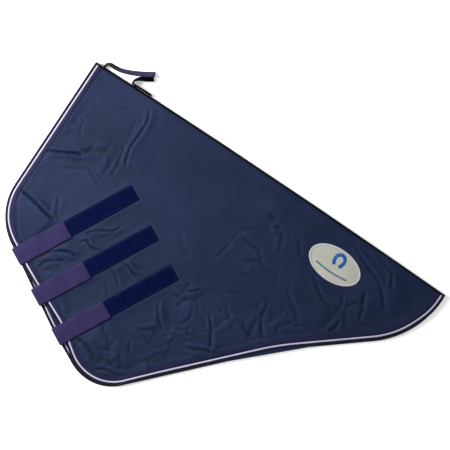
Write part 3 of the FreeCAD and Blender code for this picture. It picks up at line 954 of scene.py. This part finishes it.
# ---------------------------------------------------------------------------
# Closure straps: 50 mm webbing.  Each is one strip: sewn flat under the far half, turned
# round both edges, and pressed down by its hook patch on the near half's loop strip.
STRAP_THICK = 1.6
ANCHOR_END = 108.0
FLAP_END = 152.0
HEM_AT = 138.0
STRAP_WIDTH, STRAP_COLUMNS = 50.0, 13
FLAP_LOW, FLAP_HIGH = 13.4, 14.0
HOOK_FROM, HOOK_TO = 92.0, 148.0
HOOK_WIDTH, HOOK_THICK, HOOK_COLUMNS = 46.0, 0.9, 11
strap_webbing = cloth_material("Purple navy webbing", (38, 33, 74), (51, 45, 88), rough=0.6,
                               pitch=(0.0022, 0.0016), depth=0.0006, sheen=0.03, along=True,
                               tint=(150, 130, 230), patch=24.0, specular=0.1)
hook_plastic = cloth_material("Hook tape", (12, 12, 22), (22, 22, 34), rough=0.4,
                              pitch=(0.0016, 0.0016), depth=0.0008, along=True, specular=0.4)
edge_trees = [tree_of(piece) for piece in (bindings["near"], near_piping, bindings["far"])]
strap_rows = {}
STRAP_REACH = {"upper": 3.0, "middle": 4.0, "lower": 2.0}
for place, start in STRAP_STARTS.items():
    reach = STRAP_REACH[place]
    anchor = np.arange(ANCHOR_END, 7.0, -6.0)
    flap = np.arange(8.0, FLAP_END + 0.1, 4.0)
    flap_grid = strap_grid(start, flap, STRAP_WIDTH, STRAP_COLUMNS)
    supports = [shell_tree, tree_of(loop_strips[place])] + edge_trees
    hook_gap = ease((flap - 80) / 14)[:, None]
    flap_z = np.maximum(rest_on(flap_grid, supports, 3) + 0.9 + 0.8 * hook_gap, FLAP_LOW)
    flap_z = np.minimum(flap_z, FLAP_HIGH) + 0.35 * ease((flap - HEM_AT) / 3)[:, None]
    turn = np.linspace(-math.pi / 2, math.pi / 2, 13)[1:-1]
    top = flap_z[0]
    low = STRAP_THICK / 2
    bend_z = low + (np.sin(turn)[:, None] + 1) / 2 * (top - low)[None, :]
    bend_s = 6.5 - (6.5 + reach) * np.cos(turn)
    distances = np.r_[anchor, bend_s, flap]
    grid = strap_grid(start, distances, STRAP_WIDTH, STRAP_COLUMNS)
    z = np.concatenate([np.full((len(anchor), STRAP_COLUMNS), low), bend_z, flap_z])
    strap = ribbon("strap_" + place, world(grid[..., 0], grid[..., 1], z), STRAP_THICK,
                   strap_webbing)
    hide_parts("strap_anchor_" + place, "strap_bend_" + place, "strap_flap_" + place)
    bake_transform(strap)
    picked = (flap >= HOOK_FROM) & (flap <= HOOK_TO)
    hook_grid = strap_grid(start, flap[picked], HOOK_WIDTH, HOOK_COLUMNS)
    hook_across = np.linspace(-HOOK_WIDTH / 2, HOOK_WIDTH / 2, HOOK_COLUMNS)
    strap_across = np.linspace(-STRAP_WIDTH / 2, STRAP_WIDTH / 2, STRAP_COLUMNS)
    hook_z = np.stack([np.interp(hook_across, strap_across, row) for row in flap_z[picked]])
    hook_z = hook_z - STRAP_THICK / 2 - HOOK_THICK / 2
    patch = ribbon("hook_tape_" + place, world(hook_grid[..., 0], hook_grid[..., 1], hook_z),
                   HOOK_THICK, hook_plastic)
    fasten(patch, "closure_" + place, "hook_patch_" + place)
    face = world(flap_grid[..., 0], flap_grid[..., 1], flap_z + STRAP_THICK / 2 + 0.05)
    hem = int(np.argmin(np.abs(flap - HEM_AT)))
    patch_row = int(np.argmin(np.abs(flap - HOOK_FROM)))
    strap_rows[place] = [face[patch_row:-1, 1], face[patch_row:-1, -2], face[hem, 1:-1],
                         face[-2, 1:-1], face[patch_row, 1:-1]]


# ---------------------------------------------------------------------------
# Badge: an oval of pale satin with a raised, close-stitched rim, sewn near the withers.  Its
# embroidery is a plain horseshoe over a curved line.
BADGE_CENTRE = (815.0, 100.0)
BADGE_HALF = (74.0, 43.5)
satin = cloth_material("Pale badge satin", (178, 181, 168), (194, 195, 186), rough=0.5,
                       pitch=(0.0006, 0.0012), depth=0.00015, specular=0.25)
rim_thread = cloth_material("Pale rim stitching", (196, 198, 200), (216, 216, 222), rough=0.45,
                            pitch=(0.0007, 0.004), depth=0.0007, sheen=0.1, along=True,
                            tint=(255, 255, 255))
blue_thread = cloth_material("Blue embroidery", (0, 62, 140), (28, 110, 190), rough=0.4,
                             pitch=(0.0008, 0.004), depth=0.0005, sheen=0.1, along=True,
                             tint=(120, 190, 255), patch=60.0)
grey_thread = cloth_material("Grey blue embroidery", (60, 92, 112), (104, 140, 156), rough=0.5,
                             pitch=(0.0008, 0.004), depth=0.0005, along=True, patch=60.0)
angles = np.linspace(0, 2 * math.pi, 120, endpoint=False)
shares = np.array([0.0, 0.2, 0.4, 0.6, 0.8, 0.93, 0.985])
badge_u = BADGE_CENTRE[0] + shares[1:, None] * BADGE_HALF[0] * np.cos(angles)
badge_v = BADGE_CENTRE[1] + shares[1:, None] * BADGE_HALF[1] * np.sin(angles)
badge_places = np.stack([badge_u, badge_v], -1)
badge_z = rest_on(badge_places, [shell_tree], 1)
centre_z = float(badge_z[0].mean())
dome = 1.1 * (1 - shares[1:, None] ** 4)
count = len(angles)


def badge_vertices(lift):
    """Points of one face of the badge, this far above the cloth, its middle first."""
    rows = world(badge_u, badge_v, badge_z + lift).reshape(-1, 3)
    middle = world([BADGE_CENTRE[0]], [BADGE_CENTRE[1]], centre_z + float(np.ravel(lift)[0]))
    return np.concatenate([middle, rows])


top = badge_vertices(dome + 0.7)
bottom = badge_vertices(np.full(dome.shape, 0.05))
faces = []
for base, flip in ((0, False), (len(top), True)):
    for k in range(count):
        after = (k + 1) % count
        fan = [base, base + 1 + k, base + 1 + after]
        faces.append(tuple(fan[::-1] if flip else fan))
        for ring in range(len(shares) - 2):
            a = base + 1 + ring * count
            quad = [a + k, a + count + k, a + count + after, a + after]
            faces.append(tuple(quad[::-1] if flip else quad))
last = 1 + (len(shares) - 2) * count
for k in range(count):
    after = (k + 1) % count
    faces.append((last + after, last + k, len(top) + last + k, len(top) + last + after))
badge = finished("badge_satin", np.concatenate([top, bottom]), faces, satin)


def raised_cord(name, path, radii, material, closed=False, lift=0.6, supports=None):
    """A raised line of satin stitches following the cloth: wide, low and rounded."""
    path = np.asarray(path, float)
    if closed:
        run = np.roll(path, -1, axis=0) - np.roll(path, 1, axis=0)
    else:
        run = np.gradient(path, axis=0)
    run /= np.linalg.norm(run, axis=1)[:, None]
    sides = np.stack([run[:, 1], -run[:, 0]], 1)
    base = rest_on(path[:, None, :], supports or [shell_tree], 0)[:, 0]
    lengths = run_of(path)
    rings, weave = [], []
    wide, tall = radii
    for angle in np.linspace(0, 2 * math.pi, 12, endpoint=False):
        places = path + sides * (wide * math.sin(angle))
        rings.append(world(places[:, 0], places[:, 1],
                           base + lift - tall * math.cos(angle)))
        weave.append(np.stack([lengths * MM, np.full(len(path), wide * math.sin(angle) * MM),
                               np.zeros(len(path))], -1))
    return loft(name, np.stack(rings, 1), material, np.stack(weave, 1), closed)


rim_angles = np.linspace(0, 2 * math.pi, 160, endpoint=False)
rim_path = np.stack([BADGE_CENTRE[0] + (BADGE_HALF[0] - 1.0) * np.cos(rim_angles),
                     BADGE_CENTRE[1] + (BADGE_HALF[1] - 1.0) * np.sin(rim_angles)], 1)
badge_rim = raised_cord("badge_rim", rim_path, (2.6, 1.3), rim_thread, True, 0.9)
badge_tree = tree_of(badge)
SHOE = [(-7.5, 16), (-11.5, 8), (-13, -2), (-9.5, -11.5), (0, -16), (9.5, -11.5), (13, -2),
        (11.5, 8), (7.5, 16)]
shoe = flowing([(819 + u, 84 + v) for u, v in SHOE], 1.6)
shoe_piece = raised_cord("badge_horseshoe", shoe, (4.6, 0.8), blue_thread,
                         lift=0.3, supports=[badge_tree])
line_u = np.linspace(768, 862, 40)
line_v = 118.0 + 4.0 * np.sin((line_u - 768) / 94 * math.pi)
swoop = raised_cord("badge_curved_line", np.stack([line_u, line_v], 1), (2.3, 0.6), grey_thread,
                    lift=0.3, supports=[badge_tree])
fasten(badge, "near_half", "label_patch")
fasten(badge_rim, "near_half", "label_rim")
fasten(shoe_piece, "near_half", "label_motif")
fasten(swoop, "near_half")


# ---------------------------------------------------------------------------
# Headcollar loop: two lengths of webbing sewn to the crest at the poll, standing on edge.
# The front one wraps over the headcollar and closes on the rear one with hook and loop.
TAB_BOTTOM, TAB_TOP, TAB_STEP = 0.5, 22.5, 2.5
FRONT_RUN = [(30.5, -1.5), (27.5, -4.5), (29, -10), (36, -14), (50, -14), (68, -16), (91, -24),
             (115, -35.5), (132, -45), (148, -55)]
REAR_RUN = [(115, -1.5), (112, -4.5), (111, -10), (115, -17.5), (123, -25), (135, -34.5),
            (150, -45.5)]
tab_webbing = cloth_material("Headcollar webbing", (38, 32, 62), (56, 48, 84), rough=0.6,
                             pitch=(0.0018, 0.0013), depth=0.0005, sheen=0.02, along=True,
                             tint=(150, 130, 220), patch=30.0, specular=0.05)
tab_black = cloth_material("Black headcollar webbing", (6, 5, 9), (14, 12, 17), rough=0.8,
                           pitch=(0.0018, 0.0013), depth=0.0005, along=True, specular=0.03)


def standing_tab(name, run, lean, material, low=TAB_BOTTOM, high=(TAB_TOP, TAB_TOP),
                 thick=1.5):
    """Webbing standing on edge along a line, leaning over by these amounts along its run."""
    path = flowing(run, TAB_STEP)
    high = np.interp(np.linspace(0, 1, len(path)), np.linspace(0, 1, len(high)), high)
    sides = sideways(path)
    share = np.linspace(0, 1, len(path))
    slope = np.interp(share, np.linspace(0, 1, len(lean)), lean)
    levels = np.linspace(0, 1, 9)
    grid = np.empty((len(path), len(levels), 3))
    for k, level in enumerate(levels):
        places = path + sides * (slope * (level - 0.5))[:, None]
        grid[:, k] = world(places[:, 0], places[:, 1], low + (high - low) * level)
    tab = ribbon(name, grid, thick, material)
    layer = tab.data.attributes.new("from_base", "FLOAT", "POINT")
    steps = np.repeat(np.arange(len(path)) * TAB_STEP, 2 * len(levels))
    layer.data.foreach_set("value", steps.astype(np.float32))
    return tab


# Painted shade: the front tab's webbing is darkened almost to black for its first 30 mm from the crest,
# where it curls up on edge, easing back to its dye by 58 mm.
shade_by(tab_webbing, "from_base", 30, 58, 0.03, 1.0)
front_tab = standing_tab("headcollar_tab_front", FRONT_RUN, [-10, -12, -14, -15, -16, -16],
                         tab_webbing)
rear_tab = standing_tab("headcollar_tab_rear", REAR_RUN, [-6, -9, -14, -19, -21], tab_black,
                        high=(TAB_TOP, 21, 17, 12, 10.5))
fasten(front_tab, "headcollar_front", "headcollar_front_tab")
fasten(rear_tab, "headcollar_rear", "headcollar_rear_tab")
HOOK_LINE = [(119.5, -36.6), (132.5, -43.8), (145.5, -52.2)]
LOOP_LINE = [(126.5, -28.8), (135.5, -35.8), (147.5, -44.2)]
front_base = standing_tab("headcollar_sewn_front", [(14, -2.4), (22, -2.3), (29, -2.1)],
                          [0, 0, 0], tab_black)
rear_base = standing_tab("headcollar_sewn_rear", [(115.5, -2.4), (143, -3.2), (171, -2.9)],
                         [2.0, 2.0, 2.0], tab_black, thick=4.2)
fasten(front_base, "crest_band", "headcollar_front_base")
fasten(rear_base, "crest_band", "headcollar_rear_base")
black_pile = cloth_material("Black loop pile", (5, 5, 7), (12, 11, 14), rough=0.95,
                            pitch=(0.0013, 0.0013), depth=0.0008, along=True, slub=1.2,
                            specular=0.02, patch=40.0)
hook_pad = standing_tab("headcollar_hook_tape", HOOK_LINE, [-15, -15], hook_plastic,
                        2.0, (21.0, 21.0), 0.8)
loop_pad = standing_tab("headcollar_loop_tape", LOOP_LINE, [-15, -18], black_pile,
                        2.6, (13.5, 12.0), 0.8)
fasten(hook_pad, "headcollar_front", "headcollar_hook_pad")
fasten(loop_pad, "headcollar_rear", "headcollar_loop_pad")


# ---------------------------------------------------------------------------
# Stitching: thread in even rows, navy through the binding and along the loop strips, and
# purple round the straps' hook patches and hems.
def stitch_tree():
    """Geometry Nodes: rows of thread stitches laid end to end along lines."""
    tree = bpy.data.node_groups.new("Row of stitches", "GeometryNodeTree")
    face = tree.interface
    face.new_socket("Lines", in_out="INPUT", socket_type="NodeSocketGeometry")
    for socket, value in (("Spacing", 0.004), ("Stitch", 0.003), ("Thread", 0.0006)):
        item = face.new_socket(socket, in_out="INPUT", socket_type="NodeSocketFloat")
        item.default_value = value
    face.new_socket("Finish", in_out="INPUT", socket_type="NodeSocketMaterial")
    face.new_socket("Stitches", in_out="OUTPUT", socket_type="NodeSocketGeometry")
    entry, leave = tree.nodes.new("NodeGroupInput"), tree.nodes.new("NodeGroupOutput")
    curve = add_node(tree, "GeometryNodeMeshToCurve", {"Mesh": entry.outputs["Lines"]})
    resample = add_node(tree, "GeometryNodeResampleCurve", mode="LENGTH")
    tree.links.new(curve.outputs["Curve"], resample.inputs["Curve"])
    tree.links.new(entry.outputs["Spacing"], resample.inputs["Length"])
    bead = add_node(tree, "GeometryNodeMeshIcoSphere", {"Subdivisions": 1, "Radius": 0.5})
    size = add_node(tree, "ShaderNodeCombineXYZ", {
        "X": entry.outputs["Stitch"], "Y": entry.outputs["Thread"],
        "Z": entry.outputs["Thread"]})
    tangent = add_node(tree, "GeometryNodeInputTangent")
    align = add_node(tree, "FunctionNodeAlignRotationToVector",
                     {"Vector": tangent.outputs["Tangent"]}, axis="X")
    place = add_node(tree, "GeometryNodeInstanceOnPoints", {
        "Points": resample.outputs["Curve"], "Instance": bead.outputs["Mesh"],
        "Rotation": align.outputs["Rotation"], "Scale": size.outputs["Vector"]})
    real = add_node(tree, "GeometryNodeRealizeInstances", {
        "Geometry": place.outputs["Instances"]})
    finish = add_node(tree, "GeometryNodeSetMaterial", {
        "Geometry": real.outputs["Geometry"], "Material": entry.outputs["Finish"]})
    tree.links.new(finish.outputs["Geometry"], leave.inputs["Stitches"])
    return tree


STITCHES = stitch_tree()


def sew(name, lines, finish, spacing=0.0042, stitch=0.0032, thread=0.0008):
    """One piece of rows of stitches along lines of points in the row frame."""
    vertices, edges = [], []
    for line in lines:
        first = len(vertices)
        vertices += [tuple(point) for point in line]
        edges += [(first + k, first + k + 1) for k in range(len(line) - 1)]
    mesh = bpy.data.meshes.new(name + "_lines")
    mesh.from_pydata(vertices, edges, [])
    guide = put_in(name + "_lines", mesh)
    modifier = guide.modifiers.new("Stitches", "NODES")
    modifier.node_group = STITCHES
    sizes = {"Spacing": spacing, "Stitch": stitch, "Thread": thread, "Finish": finish}
    for item in STITCHES.interface.items_tree:
        if item.name in sizes:
            modifier[item.identifier] = sizes[item.name]
    bpy.context.view_layer.update()
    made = guide.evaluated_get(bpy.context.evaluated_depsgraph_get())
    rows = bpy.data.meshes.new_from_object(made)
    bpy.data.objects.remove(guide)
    rows.name = name
    rows.polygons.foreach_set("use_smooth", [True] * len(rows.polygons))
    piece = put_in(name, rows)
    return piece


navy_thread = cloth_material("Navy sewing thread", (30, 30, 66), (48, 46, 88), rough=0.45,
                             pitch=(0.0006, 0.0006), depth=0.0001, patch=60.0)
purple_thread = cloth_material("Purple sewing thread", (58, 50, 104), (78, 70, 126), rough=0.45,
                               pitch=(0.0006, 0.0006), depth=0.0001, patch=60.0)


def edge_row(path, distance, height, raised):
    """A row of stitches inside a free edge, on a face at that height."""
    places = inset(path, distance)
    rise = near_face(places[:, 0], places[:, 1]) - NEAR_PRESSED if raised else 0.0
    return world(places[:, 0], places[:, 1], height + rise)


INNER_ROW, OUTER_ROW = 20.6, 4.4
near_rows = [edge_row(near_line, INNER_ROW, NEAR_TOP + 0.2, True),
             edge_row(near_line, OUTER_ROW, NEAR_TOP + 0.25, True),
             edge_row(near_line, INNER_ROW, NEAR_BOTTOM - 0.5, False)]
far_rows = [edge_row(far_line, INNER_ROW, FAR_TOP + 0.75, False),
            edge_row(far_line, OUTER_ROW, FAR_TOP + 0.85, False)]
sewing = [("near_binding_stitches", near_rows, navy_thread, "binding_tape", "near_half"),
          ("far_binding_stitches", far_rows, navy_thread, "binding_tape", "far_half")]
for place, rows in loop_rows.items():
    sewing.append(("loop_stitches_" + place, rows, navy_thread, "loop_fabric", "near_half"))
for place, rows in strap_rows.items():
    sewing.append(("strap_stitches_" + place, rows, purple_thread, "strap_webbing",
                   "closure_" + place))
for name, rows, thread, slot, body in sewing:
    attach(sew(name, rows, thread), body)


# ---------------------------------------------------------------------------
# Rug tabs: short strips of hook tape and loop tape sewn to the linings near the shoulder,
# which hold the cover to the rug's own neckline.
RUG_TABS = {"near_half": ("near_rug_tabs", [(640, 500), (900, 240)], 5.82),
            "far_half": ("far_rug_tabs", [(735, 400), (985, 165)], 5.2)}
for body, (node, centres, height) in RUG_TABS.items():
    for index, (centre_u, centre_v) in enumerate(centres):
        off, share = from_line(np.array([centre_u]), np.array([centre_v]), near_line)
        k = int(share[0] * (len(near_line) - 1))
        run = near_line[min(k + 1, len(near_line) - 1)] - near_line[k]
        run = run / np.linalg.norm(run)
        side = np.array([run[1], -run[0]])
        longs, wides = np.linspace(-45, 45, 19), np.linspace(-20, 20, 9)
        grid = (np.array([centre_u, centre_v]) + longs[:, None, None] * run
                + wides[None, :, None] * side)
        tab = ribbon("rug_tab_" + body[:-5] + "_" + str(index + 1),
                     world(grid[..., 0], grid[..., 1], np.full(grid.shape[:2], height)), 1.1,
                     loop_pile if body == "near_half" else hook_plastic)
        fasten(tab, body, *([node] if index == 0 else []))


# ---------------------------------------------------------------------------
# Studio: a white floor, soft overhead light from the head end, and a camera looking
# straight down, turned so that the crest slopes down to the right.
CAMERA_HEIGHT = 3.4
VIEW_WIDTH = 1.1803
VIEW_CENTRE = (518.5, 173.5)
VIEW_TURN = math.radians(33.831)
SENSOR = 36.0
camera_data = bpy.data.cameras.new("camera")
camera_data.sensor_width = SENSOR
camera_data.lens = SENSOR * CAMERA_HEIGHT / VIEW_WIDTH
camera = put_in("camera", camera_data)
camera.location = (POLL_X + VIEW_CENTRE[0] * MM, CREST_Y - VIEW_CENTRE[1] * MM, CAMERA_HEIGHT)
camera.rotation_euler = (0, 0, VIEW_TURN)
bpy.context.scene.camera = camera

floor_mesh = bpy.data.meshes.new("floor")
floor_mesh.from_pydata([(-6, -6, 0), (6, -6, 0), (6, 6, 0), (-6, 6, 0)], [], [(0, 1, 2, 3)])
floor_paper = bpy.data.materials.new("White paper floor")
floor_paper.use_nodes = True
paper = floor_paper.node_tree.nodes["Principled BSDF"]
for socket, value in (("Base Color", (0.95, 0.95, 0.95, 1)), ("Emission Color", (1, 1, 1, 1)),
                      ("Emission Strength", 0.35), ("Roughness", 0.9),
                      ("Specular IOR Level", 0.1)):
    paper.inputs[socket].default_value = value
floor_mesh.materials.append(floor_paper)
floor = put_in("floor", floor_mesh)
floor.location.z = -0.0004
spread = np.array([[math.cos(VIEW_TURN), -math.sin(VIEW_TURN)],
                   [math.sin(VIEW_TURN), math.cos(VIEW_TURN)]])
for name, power, size, place, height in (("key", 56, 0.8, (-1.35, 0.75), 1.15),
                                         ("fill", 8, 2.4, (1.8, -1.5), 2.6)):
    light = bpy.data.lights.new(name, "AREA")
    light.energy = power
    light.size = size
    light_object = put_in(name, light)
    light_object.location = (*(spread @ np.array(place)), height)
    aim = -light_object.location
    light_object.rotation_euler = aim.to_track_quat("-Z", "Y").to_euler()
studio = bpy.data.worlds.new("studio")
studio.use_nodes = True
studio.node_tree.nodes["Background"].inputs["Color"].default_value = (1, 1, 1, 1)
studio.node_tree.nodes["Background"].inputs["Strength"].default_value = 0.38
bpy.context.scene.world = studio
bpy.context.scene.view_settings.view_transform = "Standard"
